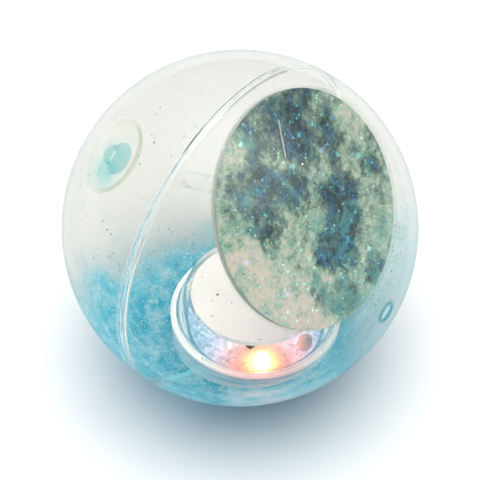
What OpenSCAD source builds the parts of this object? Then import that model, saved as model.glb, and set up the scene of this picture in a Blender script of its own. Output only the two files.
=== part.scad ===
// Light-up glitter water ball: two clear half shells welded at a seam, filled with water,
// with a moon picture disc held on four arms and a sealed flasher pod at the bottom.
// The origin is the ball's centre. +Z is up, and the fill plug's pole faces -Y.

/* [Ball] */
// Outer diameter of the ball
ball_d = 65; // [58:1:80]
// Wall of each half shell
shell_wall = 1.6; // [1.4:0.1:2.2]

/* [Seam] */
// Width of the ring that fills the groove at the seam
seam_w = 1.2; // [0.8:0.1:2]
// Length of the tongue on the back shell
tongue_len = 1.4; // [1:0.1:2.4]
// Thickness of the tongue
tongue_t = 0.8; // [0.6:0.05:1]
// Number of fine grooves round the seam ring
seam_grooves = 2; // [1:1:3]

/* [Fill port] */
// Diameter of the fill plug's head
plug_head_d = 4.2; // [3.6:0.1:6]
// Diameter of the fill plug's stem
plug_stem_d = 2.9; // [2:0.1:3.2]
// Diameter of the boss round the fill port
port_boss_d = 6.4; // [6:0.2:9]

/* [Back cap] */
// Diameter of the cap at the back pole
cap_d = 15.9; // [12:0.1:18]
// Width of the ledge that the cap sits on
cap_ledge = 0.8; // [0.6:0.1:1.2]
// Diameter of the valve stem in the middle of the cap
valve_d = 3.9; // [3:0.1:5]
// Diameter of the valve's inner flange
valve_flange_d = 6.6; // [5.5:0.1:8]

/* [Moon disc] */
// Outer diameter of the tray that carries the picture
disc_d = 43.2; // [36:0.2:44]
// Tilt of the disc back from upright, degrees
disc_tilt = 35; // [25:1:45]
// Gap between the disc's rim and the shell
disc_gap = 0.306; // [0.2:0.002:1]
// Offset of the disc to the right of the ball's axis
disc_side = 3; // [0:0.5:3]
// Offset of the disc up its own face
disc_rise = 1.5; // [0:0.1:1.5]
// Thickness of the tray's floor
tray_t = 1.1; // [0.8:0.1:1.6]
// Thickness of the tray's rim
rim_t = 0.35; // [0.3:0.05:0.6]
// Height of the tray's rim above its floor
rim_h = 0.7; // [0.5:0.05:0.8]
// Thickness of the printed picture
print_t = 0.2; // [0.1:0.05:0.3]
// Thickness of the clear lens at its edge
lens_edge = 0.75; // [0.5:0.05:0.9]
// Crown of the clear lens above its edge
lens_crown = 0.95; // [0.4:0.05:1.2]
// Width of each of the four arms
arm_w = 2.4; // [1.6:0.1:4]
// Length of each arm's hook over the lens
hook_bite = 0.8; // [0.6:0.1:1.2]
// Thickness of each arm's hook
hook_t = 0.6; // [0.4:0.1:1]

/* [Flasher pod] */
// Offset of the pod to the front
pod_y = 3.9; // [2:0.1:4]
// Diameter of the pod's flange
pod_d = 33.2; // [30:0.2:34]
// Distance of the pod's flange inside the cup's own sphere
pod_inset = 0.548; // [0.3:0.002:1.5]
// Width of the slope round the pod's flat top
pod_slope = 3.2; // [2:0.1:4]
// Wall of the pod
pod_wall = 0.9; // [0.7:0.1:1.2]
// Thickness of each flange
flange_t = 0.8; // [0.6:0.1:1.2]
// Thickness of the seal between the flanges
seal_t = 0.6; // [0.4:0.1:1]
// Gap between the pod and the shell, filled by the pad
pod_gap = 0.5; // [0.4:0.1:0.8]

/* [Flasher] */
// Gap between the white reflector plate and the pod's slope
reflector_gap = 0.1; // [0.1:0.05:2]
// Thickness of the reflector plate
reflector_t = 0.8; // [0.6:0.1:1.2]
// Gap between the circuit board and the pod's wall
board_gap = 0.8; // [0.3:0.1:2]
// Thickness of the circuit board
board_t = 1.0; // [0.8:0.1:1.2]
// Diameter of each button cell
cell_d = 7.9; // [6.8:0.1:8]
// Height of each button cell
cell_h = 3.6; // [2.6:0.1:3.6]
// Diameter of each lamp
lamp_d = 3.0; // [2.4:0.1:3]
// Height of each lamp's straight body
lamp_h = 1.6; // [1.2:0.1:2.4]
// Gap between the reflector plate and the tallest piece under it
head_gap = 0.9; // [0.5:0.1:2]

/* [Shake switch] */
// Mean diameter of the shake switch's spring
spring_d = 2.6; // [2.2:0.1:3.2]
// Diameter of the spring's wire
wire_d = 0.3; // [0.2:0.05:0.4]
// Height of the spring
spring_h = 4.6; // [3.6:0.1:4.8]
// Number of turns in the spring
spring_turns = 7; // [5:1:9]
// Diameter of the post inside the spring
post_d = 0.5; // [0.4:0.1:0.8]

/* [Fits] */
// Clearance between pieces that sit in each other
fit_gap = 0.05; // [0.03:0.01:0.1]
// Clearance between the water and what it wets
wet_gap = 0.05; // [0.05:0.01:0.2]
// Clearance below the moving spring
move_gap = 0.5; // [0.45:0.05:0.8]

/* [Hidden] */
ro = ball_d / 2;
ri = ro - shell_wall;
lap_r = ri + tongue_t;
far = ball_d;
cut = 1;
slit = 0.1;
tongue_root = 0.2;
groove_r = 0.14;

plug_head_t = 0.5;
plug_boss_h = 1.2;
plug_barb_t = 1.1;
plug_barb_over = 0.25;
plug_dish_wall = 0.5;
plug_dish = 0.3;
plug_end_wall = 0.7;
plug_end_dish = 0.4;
port_sink = 0.1;
port_groove_w = 0.2;
port_groove = 0.25;

cap_share = 0.55;
cap_seat = cap_share * shell_wall;
cap_hole_d = cap_d - 2 * cap_ledge;
seal_share = 0.4;
valve_in = 1.5;
valve_flange_t = 1;

print_gap = 0.1;
lens_r = disc_d / 2 - rim_t - fit_gap;
disc_up = [0, sin(disc_tilt), cos(disc_tilt)];
disc_out = [0, -cos(disc_tilt), sin(disc_tilt)];
// The farthest point of the disc's rim from the ball's centre keeps its gap to the shell.
disc_reach = disc_d / 2 + norm([disc_side, disc_rise]);
disc_depth = sqrt(pow(ri - disc_gap, 2) - pow(disc_reach, 2)) - rim_h;
disc_centre = disc_depth * disc_out + disc_rise * disc_up + [disc_side, 0, 0];
lens_base = print_t;
lens_top = lens_base + lens_edge + lens_crown;
lens_sphere = (pow(lens_r, 2) + pow(lens_crown, 2)) / (2 * lens_crown);
hook_z = lens_base + lens_edge + 3 * fit_gap;
arm_back = 0.8;
arm_angles = [45:90:315];

flange_w = 1.1;
seal_in = 0.3;
seal_out = 0.2;
pad_d = 12;
inner_gap = 0.2;

board_drop = 0.9;
post_w = 1.4;
post_in = 2.6;
post_angles = [90, 185, 345];
lamp_edge = 0.2;
lamp_angles = [223, 269];
chip_at = [-3, 0];
chip_dome = 3.2;
chip_h = 1;
resistor_at = [-7.5, -8.6];
resistor_size = [2, 1.25, 0.6];
resistor_pitch = 3.2;
resistors_n = 3;
cage_wall = 0.55;
cage_gap = 2.509;
plate_in = 0.8;
contact_t = 0.2;
cell_step_h = 0.4;
cell_step_w = 0.9;
riser_w = 2;
cell_angles = [90, 210, 330];
switch_at = [5, 3];
ring_over = 0.5;
ring_under = 0.6;
ring_t = 0.2;
post_over = 0.2;
spring_sides = 8;
spring_steps = 16;

cup_r = ri - pod_gap;
cup_ri = cup_r - pod_wall;
cover_foot_r = pod_d / 2 - flange_w;
hole_r = cover_foot_r - pod_wall;
seal_r = cover_foot_r - seal_in;
pod_top_d = pod_d - 2 * pod_slope;
reflector_d = pod_top_d - 2 * (pod_wall + reflector_gap);
reflector_post_r = reflector_d / 2 - post_in;
board_d = 2 * (hole_r - board_gap);
lamp_ring_r = board_d / 2 - lamp_d / 2 - lamp_edge;
cell_pitch_r = cell_d / 2 / sin(60) + 2.6 * fit_gap;
cage_r = cell_pitch_r + cell_d / 2 + cage_wall;
cell_y = pod_y - (hole_r - cage_r - cage_gap);
plate_r = cage_r - plate_in;
cell_drop = board_drop + board_t + contact_t + 4 * fit_gap;
stack = cell_drop + cell_h;

// Depth at which something that reaches this far from the ball's axis touches a sphere.
function depth_at(r, reach) = sqrt(pow(r, 2) - pow(reach, 2));
// The joint sits as low as the flange, the circuit board and the cells' cage all allow.
pod_joint = min(
    depth_at(cup_r - pod_inset, pod_d / 2 + pod_y) - seal_t / 2,
    depth_at(cup_ri - inner_gap, board_d / 2 + pod_y) - board_drop - board_t,
    depth_at(cup_ri - inner_gap, cage_r + cell_y) - stack);
joint_top = -pod_joint + seal_t / 2;
joint_bot = -pod_joint - seal_t / 2;
board_top = -pod_joint - board_drop;
on_board = board_top + fit_gap / 2;
cell_top = -pod_joint - cell_drop;
cell_bot = cell_top - cell_h;
spring_base = board_top + move_gap + wire_d / 2;
post_top = spring_base + spring_h + post_over;
lamp_top = board_top + lamp_h + lamp_d / 2;
reflector_top = max(post_top, lamp_top) + head_gap + reflector_t;
pod_top = -reflector_top - pod_wall - fit_gap;

// Turns a shape built along +Z so that it faces the front pole, -Y.
module front_pole() { rotate([90, 0, 0]) children(); }
// Turns a shape built along +Z so that it faces the back pole, +Y.
module back_pole() { rotate([-90, 0, 0]) children(); }

module ball(r) { sphere(r = r, $fn = 128); }
module rod(r, z0, z1) { translate([0, 0, z0]) cylinder(r = r, h = z1 - z0, $fn = 96); }
module tube(r1, r0, z0, z1) {
    difference() {
        rod(r1, z0, z1);
        rod(r0, z0 - cut, z1 + cut);
    }
}

// The half of a hollow ball above z = from, open at the bottom.
module half_shell(from) {
    intersection() {
        difference() {
            ball(ro);
            ball(ri);
        }
        rod(far, from, far);
    }
}

module shell_front() {
    color([0.93, 0.96, 0.96, 0.25]) front_pole() difference() {
        union() {
            half_shell(seam_w / 2);
            intersection() {
                ball(ro);
                rod(port_boss_d / 2, ri - plug_boss_h, ro);
            }
        }
        rod(lap_r + fit_gap, 0, tongue_len + fit_gap);
        rod(plug_stem_d / 2 + fit_gap, 0, far);
        rod(plug_head_d / 2 + fit_gap, ro - plug_head_t - port_sink, far);
        tube(plug_head_d / 2 + 3 * port_groove_w, plug_head_d / 2 + 2 * port_groove_w, ro - port_groove, far);
    }
}

module shell_back() {
    color([0.93, 0.95, 0.94, 0.25]) difference() {
        union() {
            back_pole() half_shell(seam_w / 2);
            front_pole() difference() {
                rod(lap_r, -seam_w / 2 - tongue_root, tongue_len);
                ball(ri);
            }
        }
        back_pole() difference() {
            rod(cap_d / 2 + fit_gap, 0, far);
            ball(ro - cap_seat);
        }
        back_pole() rod(cap_hole_d / 2 + fit_gap, 0, far);
    }
}

module seam_ring() {
    half = seam_w / 2 - fit_gap;
    pitch = 2 * half / (seam_grooves + 1);
    color([0.86, 0.92, 0.92, 0.5]) front_pole() rotate_extrude($fn = 128) difference() {
        translate([lap_r + fit_gap, -half]) square([ro - lap_r - fit_gap, 2 * half]);
        for (i = [1:seam_grooves]) translate([ro, -half + i * pitch]) circle(r = groove_r, $fn = 24);
    }
}

module fill_plug() {
    head_top = ro - port_sink;
    stem_end = ri - plug_boss_h - fit_gap;
    color([0.62, 0.82, 0.86, 0.6]) front_pole() difference() {
        union() {
            rod(plug_head_d / 2, head_top - plug_head_t + fit_gap, head_top);
            rod(plug_stem_d / 2, stem_end - plug_barb_t, head_top);
            translate([0, 0, stem_end - plug_barb_t]) cylinder(
                r1 = plug_stem_d / 2 - plug_barb_over, r2 = plug_stem_d / 2 + plug_barb_over,
                h = plug_barb_t, $fn = 96);
        }
        rod(plug_head_d / 2 - plug_dish_wall, head_top - plug_dish, far);
        rod(plug_stem_d / 2 - plug_end_wall, stem_end - plug_end_dish, far);
    }
}

module port_cap() {
    seat = ro - cap_seat + seal_share * cap_seat + fit_gap;
    color([0.91, 0.91, 0.86, 0.6]) back_pole() difference() {
        union() {
            intersection() {
                ball(ro);
                rod(cap_hole_d / 2, 0, far);
            }
            difference() {
                intersection() {
                    ball(ro);
                    rod(cap_d / 2, 0, far);
                }
                ball(seat);
            }
        }
        ball(ri);
        rod(valve_d / 2 + fit_gap, 0, far);
        rod(far, -far, 0);
    }
}

module port_seal() {
    color([0.95, 0.95, 0.93]) back_pole() intersection() {
        difference() {
            ball(ro - cap_seat + seal_share * cap_seat);
            ball(ro - cap_seat + fit_gap / 2);
        }
        tube(cap_d / 2 - fit_gap, cap_hole_d / 2 + 2 * fit_gap, 0, far);
    }
}

module port_valve() {
    color([0.45, 0.78, 0.82]) back_pole() union() {
        intersection() {
            ball(ro - port_sink);
            rod(valve_d / 2, ri - valve_in + slit, far);
        }
        rod(valve_flange_d / 2, ri - valve_in, ri - valve_in + valve_flange_t);
    }
}

// Puts a shape built on the moon disc's own face into the ball.
module on_disc() { translate(disc_centre) rotate([90 - disc_tilt, 0, 0]) children(); }

module moon_tray() {
    color([0.9, 0.93, 0.9]) on_disc() union() {
        rod(disc_d / 2, -tray_t, 0);
        tube(disc_d / 2, disc_d / 2 - rim_t, -slit, rim_h);
    }
}

module moon_print() {
    color([0.42, 0.5, 0.5]) on_disc() rod(lens_r - print_gap, 0, print_t);
}

module moon_lens() {
    color([0.9, 0.95, 0.95, 0.25]) on_disc() intersection() {
        rod(lens_r, lens_base, lens_top + cut);
        translate([0, 0, lens_top - lens_sphere]) sphere(r = lens_sphere, $fn = 256);
    }
}

// One arm lies along +X on the disc's face and reaches the shell.
module arm_blank(extra) {
    translate([disc_d / 2 - hook_bite, -arm_w / 2 - extra, -tray_t - arm_back - extra])
        cube([far, arm_w + 2 * extra, tray_t + arm_back + hook_z + hook_t + 2 * extra]);
}

module moon_arms() {
    color([0.9, 0.95, 0.95, 0.3]) intersection() {
        on_disc() difference() {
            for (a = arm_angles) rotate([0, 0, a]) arm_blank(0);
            rod(disc_d / 2 + fit_gap, -tray_t - fit_gap, rim_h + fit_gap);
            rod(lens_r + fit_gap, 0, hook_z);
        }
        difference() {
            ball(ri - fit_gap / 2);
            translate([-far, -seam_w / 2 - fit_gap, -far]) cube(2 * far);
        }
    }
}

module at_pod() { translate([0, -pod_y, 0]) children(); }

module pod_cup() {
    color([0.9, 0.95, 0.97, 0.35]) difference() {
        intersection() {
            ball(cup_r);
            at_pod() rod(pod_d / 2, -far, joint_bot);
        }
        intersection() {
            ball(cup_ri);
            at_pod() rod(hole_r, -far, far);
        }
    }
}

module pod_cover() {
    flange_top = joint_top + flange_t;
    color([0.9, 0.95, 0.97, 0.35]) at_pod() rotate_extrude($fn = 128) polygon([
        [0, -pod_top], [pod_top_d / 2, -pod_top], [cover_foot_r, flange_top],
        [pod_d / 2, flange_top], [pod_d / 2, joint_top], [hole_r, joint_top],
        [hole_r, flange_top], [pod_top_d / 2 - pod_wall, -pod_top - pod_wall],
        [0, -pod_top - pod_wall]
    ]);
}

module pod_seal() {
    color([0.94, 0.94, 0.92]) at_pod()
        tube(pod_d / 2 - seal_out, seal_r, joint_bot + fit_gap / 2, joint_top - fit_gap / 2);
}

module pod_pad() {
    color([0.85, 0.9, 0.9, 0.6]) intersection() {
        difference() {
            ball(ri - fit_gap / 2);
            ball(cup_r + fit_gap / 2);
        }
        rod(pad_d / 2, -far, 0);
    }
}

module reflector_plate() {
    color([0.97, 0.96, 0.95]) at_pod() union() {
        rod(reflector_d / 2, reflector_top - reflector_t, reflector_top);
        for (a = post_angles) rotate([0, 0, a]) translate([reflector_post_r, 0, 0])
            rod(post_w / 2, on_board, reflector_top - slit);
    }
}

module circuit_board() {
    color([0.86, 0.88, 0.84]) at_pod() rod(board_d / 2, board_top - board_t, board_top);
}

module flasher_chip() {
    color([0.08, 0.08, 0.09]) translate([chip_at.x, chip_at.y, on_board]) intersection() {
        translate([0, 0, chip_h - chip_dome]) sphere(r = chip_dome, $fn = 64);
        rod(chip_dome, 0, chip_dome);
    }
}

module resistors() {
    color([0.15, 0.15, 0.16]) for (i = [0:resistors_n - 1])
        translate([resistor_at.x + i * resistor_pitch, resistor_at.y, on_board]) cube(resistor_size);
}

module lamp(angle) {
    at_pod() rotate([0, 0, angle]) translate([lamp_ring_r, 0, on_board]) union() {
        rod(lamp_d / 2, 0, lamp_h);
        translate([0, 0, lamp_h]) intersection() {
            sphere(r = lamp_d / 2, $fn = 64);
            rod(lamp_d, -slit, lamp_d);
        }
    }
}

module lamp_warm() { color([1, 0.93, 0.7]) lamp(lamp_angles[0]); }
module lamp_red() { color([0.85, 0.25, 0.3]) lamp(lamp_angles[1]); }

module at_cells() { translate([0, -cell_y, 0]) children(); }
module each_cell() { for (a = cell_angles) rotate([0, 0, a]) translate([cell_pitch_r, 0, 0]) children(); }

module riser_box(extra) {
    translate([-riser_w / 2 - extra, -plate_r, cell_bot - contact_t - fit_gap])
        cube([riser_w + 2 * extra, contact_t + extra, board_top - board_t - cell_bot + contact_t]);
}

module cell_cage() {
    color([0.93, 0.94, 0.95]) at_cells() difference() {
        rod(cage_r, cell_bot, cell_top);
        each_cell() rod(cell_d / 2 + fit_gap, cell_bot - cut, cell_top + cut);
        translate([-riser_w, -far - plate_r + 3 * contact_t, cell_bot - cut])
            cube([2 * riser_w, far, cell_h + 2 * cut]);
    }
}

module button_cells() {
    color([0.78, 0.79, 0.8]) at_cells() each_cell() union() {
        rod(cell_d / 2, cell_bot, cell_top - cell_step_h);
        rod(cell_d / 2 - cell_step_w, cell_bot, cell_top);
    }
}

module contact_top() {
    color([0.8, 0.78, 0.7]) at_cells()
        rod(plate_r - 3 * contact_t, cell_top + fit_gap, cell_top + fit_gap + contact_t);
}

module contact_bottom() {
    color([0.8, 0.78, 0.7]) at_cells() union() {
        rod(plate_r, cell_bot - contact_t - fit_gap, cell_bot - fit_gap);
        riser_box(0);
    }
}

module at_switch() { translate([switch_at.x, switch_at.y, 0]) children(); }

module switch_ring() {
    color([0.82, 0.66, 0.35]) at_switch()
        tube(spring_d / 2 + ring_over, spring_d / 2 - ring_under, on_board, board_top + ring_t);
}

module switch_post() {
    color([0.82, 0.66, 0.35]) at_switch()
        rod(post_d / 2, on_board, post_top);
}

// A closed tube swept round a helix, ring by ring.
module switch_spring() {
    count = spring_turns * spring_steps;
    rise = (spring_h - wire_d) / count;
    ring = [for (i = [0:count], s = [0:spring_sides - 1])
        let (a = 360 * i / spring_steps, b = 360 * s / spring_sides, r = spring_d / 2 + wire_d / 2 * cos(b))
        [r * cos(a), r * sin(a), spring_base + i * rise + wire_d / 2 * sin(b)]];
    sides = [for (i = [0:count - 1], s = [0:spring_sides - 1])
        let (t = (s + 1) % spring_sides, p = i * spring_sides)
        [p + s, p + t, p + t + spring_sides, p + s + spring_sides]];
    start = [[for (s = [0:spring_sides - 1]) spring_sides - 1 - s]];
    end = [[for (s = [0:spring_sides - 1]) count * spring_sides + s]];
    color([0.85, 0.7, 0.4]) at_switch() polyhedron(points = ring, faces = concat(sides, start, end), convexity = 10);
}

module water_fill() {
    color([0.6, 0.85, 0.9, 0.3]) difference() {
        ball(ri - wet_gap);
        // The pod, its flange and the gap below it
        at_pod() rod(pod_d / 2 + wet_gap, -far, joint_top + flange_t + wet_gap);
        at_pod() rod(cover_foot_r + wet_gap, -far, -pod_top + wet_gap);
        // The moon disc with its lens
        on_disc() rod(disc_d / 2 + wet_gap, -tray_t - wet_gap, lens_top + wet_gap);
        on_disc() for (a = arm_angles) rotate([0, 0, a]) arm_blank(wet_gap);
        // The two ports
        front_pole() rod(port_boss_d / 2 + wet_gap, ri - plug_boss_h - plug_barb_t - 4 * wet_gap, far);
        back_pole() rod(valve_flange_d / 2 + wet_gap, ri - valve_in - wet_gap, far);
    }
}

shell_front();
shell_back();
seam_ring();
fill_plug();
port_cap();
port_seal();
port_valve();
moon_tray();
moon_print();
moon_lens();
moon_arms();
pod_cup();
pod_cover();
pod_seal();
pod_pad();
reflector_plate();
circuit_board();
flasher_chip();
resistors();
lamp_warm();
lamp_red();
cell_cage();
button_cells();
contact_top();
contact_bottom();
switch_post();
switch_ring();
switch_spring();
water_fill();
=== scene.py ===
import math
import random

import bmesh
import bpy
from mathutils import Matrix, Vector, noise


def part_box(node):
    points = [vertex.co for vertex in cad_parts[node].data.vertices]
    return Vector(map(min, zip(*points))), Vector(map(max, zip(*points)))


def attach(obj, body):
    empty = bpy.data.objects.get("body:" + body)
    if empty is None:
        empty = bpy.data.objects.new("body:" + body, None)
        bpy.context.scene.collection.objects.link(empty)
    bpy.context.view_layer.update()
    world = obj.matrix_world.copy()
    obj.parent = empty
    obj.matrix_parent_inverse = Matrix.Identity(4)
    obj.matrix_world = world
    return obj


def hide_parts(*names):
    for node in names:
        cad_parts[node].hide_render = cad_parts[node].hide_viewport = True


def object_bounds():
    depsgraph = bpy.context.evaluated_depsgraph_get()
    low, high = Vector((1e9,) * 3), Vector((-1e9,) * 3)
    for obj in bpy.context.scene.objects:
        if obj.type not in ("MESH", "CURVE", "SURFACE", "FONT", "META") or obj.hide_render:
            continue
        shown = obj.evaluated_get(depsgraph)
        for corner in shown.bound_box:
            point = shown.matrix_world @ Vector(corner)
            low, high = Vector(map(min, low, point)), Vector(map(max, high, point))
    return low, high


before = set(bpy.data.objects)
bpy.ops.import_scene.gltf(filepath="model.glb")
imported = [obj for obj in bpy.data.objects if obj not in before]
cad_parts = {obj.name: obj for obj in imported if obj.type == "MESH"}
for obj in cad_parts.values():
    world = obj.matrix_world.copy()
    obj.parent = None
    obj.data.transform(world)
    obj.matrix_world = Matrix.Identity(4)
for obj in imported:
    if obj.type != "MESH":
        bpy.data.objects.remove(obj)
cad_box = [list(corner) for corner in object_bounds()]


# ---------------------------------------------------------------- table and light
# The ball lies on a plain white sweep under one even white light, as on a light table.
# The floor runs out of sight on every side, so it has no edge behind the ball.

mm = 0.001
ball_low, ball_high = (Vector(corner) for corner in cad_box)
ball_r = (ball_high.x - ball_low.x) / 2

scene = bpy.context.scene
scene.view_settings.view_transform = "Standard"
scene.cycles.max_bounces = 24
scene.cycles.transmission_bounces = 20
scene.cycles.transparent_max_bounces = 48
scene.cycles.caustics_reflective = False


def link(mesh_object):
    scene.collection.objects.link(mesh_object)
    return mesh_object


def piece_from(bm, name, smooth=True):
    """Turns a finished bmesh into an object at the origin."""
    mesh = bpy.data.meshes.new(name)
    bm.to_mesh(mesh)
    bm.free()
    for face in mesh.polygons:
        face.use_smooth = smooth
    return link(bpy.data.objects.new(name, mesh))


def material(name):
    """An empty node material: returns it with its tree and its output node."""
    made = bpy.data.materials.new(name)
    made.use_nodes = True
    made.node_tree.nodes.clear()
    return made, made.node_tree, made.node_tree.nodes.new("ShaderNodeOutputMaterial")


def add(tree, kind, settings=None, **inputs):
    """Adds a node. Settings are its properties. Inputs are numbers, colours, sockets or nodes,
    and a node given as an input stands for its first output."""
    made = tree.nodes.new("ShaderNode" + kind)
    for key, value in (settings or {}).items():
        setattr(made, key, value)
    for key, value in inputs.items():
        socket = made.inputs[int(key[1:])] if key[1:].isdigit() else made.inputs[key.replace("_", " ")]
        if isinstance(value, bpy.types.Node):
            value = value.outputs[0]
        if isinstance(value, bpy.types.NodeSocket):
            tree.links.new(value, socket)
        else:
            socket.default_value = value
    return made


def maths(tree, operation, *values, clamp=False):
    """A sum on one to three values."""
    inputs = {f"_{i}": value for i, value in enumerate(values)}
    return add(tree, "Math", {"operation": operation, "use_clamp": clamp}, **inputs)


def stepped(tree, value, *limits, smooth=True):
    """Maps a value from one range to another: from_min, from_max, to_min, to_max."""
    made = add(tree, "MapRange", {"interpolation_type": "SMOOTHSTEP" if smooth else "LINEAR"}, Value=value)
    for i, limit in enumerate(limits):
        made.inputs[i + 1].default_value = limit
    return made


def show(tree, shader, out):
    """Joins a material's last shader to its output."""
    tree.links.new(shader.outputs[0], out.inputs[0])


floor_half = 4.0
bm = bmesh.new()
bmesh.ops.create_grid(bm, x_segments=8, y_segments=8, size=floor_half)
bmesh.ops.translate(bm, verts=bm.verts, vec=(0, 0, ball_low.z))
floor = piece_from(bm, "white_table")
table_paint, tree, out = material("white_table_paint")
paint = add(tree, "BsdfPrincipled", Base_Color=(0.93, 0.935, 0.935, 1), Roughness=0.85)
paint.inputs["Specular IOR Level"].default_value = 0.1
show(tree, paint, out)
floor.data.materials.append(table_paint)

world = bpy.data.worlds.new("white_room")
world.use_nodes = True
scene.world = world
tree = world.node_tree
tree.nodes.clear()
sky = add(tree, "SeparateXYZ", Vector=add(tree, "TexCoord").outputs["Generated"])
overhead = stepped(tree, sky.outputs[2], 0.7, 0.98, 0.42, 3.5)
backdrop = maths(tree, "MAXIMUM", overhead, add(tree, "LightPath").outputs["Is Camera Ray"])
room = add(tree, "Background", Color=(1.0, 1.0, 1.0, 1), Strength=backdrop)
show(tree, room, add(tree, "OutputWorld"))

# The camera looks down on the ball, well to the left of the fill plug.
camera_az = math.radians(-51.8)
camera_el = math.radians(47.5)
camera_far = 7.0 * ball_r
frame_drop = 2.17 * mm
toward = Vector((math.sin(camera_az) * math.cos(camera_el), -math.cos(camera_az) * math.cos(camera_el),
                 math.sin(camera_el)))
side = Vector((math.cos(camera_az), math.sin(camera_az), 0))
up = toward.cross(side)
camera = link(bpy.data.objects.new("camera", bpy.data.cameras.new("camera")))
camera.data.sensor_width = 36
camera.data.lens = 92.8
camera.data.clip_start = 0.01
aim = -frame_drop * up
camera.location = aim + camera_far * toward
camera.rotation_euler = (-toward).to_track_quat("-Z", "Y").to_euler()
scene.camera = camera


# ---------------------------------------------------------------- half shells
# Two clear half shells, moulded and welded at the rim. The front one has the fill port at
# its pole, and the back one has the larger port and the tongue that runs into the front rim.

shell_in = 30.9 * mm
seam_half = 0.6 * mm
tongue_len = 1.4 * mm
tongue_r = 31.7 * mm
weld_gap = 0.05 * mm
outer_skin = 0.9985
bead_half, bead_fade, bead_ridge = 1.3 * mm, 0.15 * mm, 0.3 * mm
port_hole = {"front": 2.15 * mm, "back": 8.0 * mm}
rim_steps = 96
turn_steps = 192
front_pole = Matrix.Rotation(math.radians(90), 4, "X")
back_pole = Matrix.Rotation(math.radians(-90), 4, "X")


def spun(outline, name, turn=Matrix.Identity(4), steps=turn_steps, closed=True):
    """Spins an outline of (radius, height) points round Z, and turns the result by a matrix."""
    bm = bmesh.new()
    ring = [bm.verts.new((r, 0, z)) for r, z in outline]
    pairs = list(zip(ring, ring[1:]))
    if closed:
        pairs.append((ring[-1], ring[0]))
    edges = [bm.edges.new(pair) for pair in pairs]
    bmesh.ops.spin(bm, geom=ring + edges, cent=(0, 0, 0), axis=(0, 0, 1), angle=2 * math.pi,
                   steps=steps, use_merge=True)
    bmesh.ops.remove_doubles(bm, verts=bm.verts, dist=0.001 * mm)
    bmesh.ops.dissolve_degenerate(bm, edges=bm.edges, dist=0.0005 * mm)
    bmesh.ops.recalc_face_normals(bm, faces=bm.faces)
    bmesh.ops.transform(bm, matrix=turn, verts=bm.verts)
    return piece_from(bm, name)


def arc(radius, from_r, to_r, steps):
    """Points on a sphere's outline between two distances from the axis."""
    a0, a1 = math.asin(min(1, from_r / radius)), math.asin(min(1, to_r / radius))
    angles = [a0 + (a1 - a0) * i / steps for i in range(steps + 1)]
    return [(radius * math.sin(a), radius * math.cos(a)) for a in angles]


def fit_in(piece, paint, slot, *stands_for):
    """Gives a finished piece its material and its place in the ball."""
    piece.data.materials.append(paint)
    piece.data.set_sharp_from_angle(angle=math.radians(30))
    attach(piece, "ball")
    if stands_for:
        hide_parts(*stands_for)
    return piece


def facing_away(tree):
    """How far a surface turns away from the eye, from 0 to 1."""
    return add(tree, "LayerWeight", Blend=0.5).outputs["Facing"]


def own_place(tree):
    """Places in the piece's own coordinates."""
    return add(tree, "TexCoord").outputs["Object"]


def grain_on(tree, place, scale, detail, roughness=0.5):
    """Soft random grain over a surface."""
    return add(tree, "TexNoise", Vector=place, Scale=scale, Detail=detail, Roughness=roughness)


def vectors(tree, operation, first, second):
    return add(tree, "VectorMath", {"operation": operation}, _0=first, _1=second)


def scaled(tree, place, factor):
    return add(tree, "VectorMath", {"operation": "SCALE"}, _0=place, Scale=factor)


def measure(tree, operation, *places):
    """A length, a distance or a dot product."""
    inputs = {f"_{i}": place for i, place in enumerate(places)}
    return add(tree, "VectorMath", {"operation": operation}, **inputs).outputs["Value"]


def towards(tree, place, way):
    """How far a place lies towards a direction, from -1 to 1."""
    return measure(tree, "DOT_PRODUCT", place, tuple(way))


def blend(tree, share, first, second, way="MIX"):
    """Blends two colours."""
    return add(tree, "MixRGB", {"blend_type": way}, Fac=share, Color1=first, Color2=second)


def mixed(tree, share, first, second):
    """Mixes two shaders."""
    return add(tree, "MixShader", _0=share, _1=first, _2=second)


def colour_ramp(tree, value, *stops):
    """Runs through colours, given with their places from the lowest up."""
    made = add(tree, "ValToRGB", Fac=value)
    elements = made.color_ramp.elements
    for element, (at, colour) in zip(elements, (stops[0], stops[-1])):
        element.position = at
        element.color = (*colour, 1)
    for at, colour in stops[1:-1]:
        elements.new(at).color = (*colour, 1)
    return made


def clear_plastic(name, tint, edge_tint, gloss, roughness=0.02):
    """Clear moulded plastic: it lets light straight through, darkens towards its edge and shines."""
    made, tree, out = material(name)
    facing = facing_away(tree)
    through = add(tree, "BsdfTransparent", Color=colour_ramp(tree, facing, (0.45, tint), (1.0, edge_tint)))
    haze = add(tree, "TexNoise", Scale=260.0, Detail=3.0)
    haze_rough = stepped(tree, haze, 0.0, 1.0, roughness, roughness * 2.5, smooth=False)
    shine = add(tree, "BsdfGlossy", Color=(0.97, 0.98, 0.98, 1), Roughness=haze_rough)
    share = maths(tree, "MULTIPLY_ADD", maths(tree, "POWER", facing, 5.0), gloss, 0.04 * gloss)
    show(tree, mixed(tree, share, through, shine), out)
    return made


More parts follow.
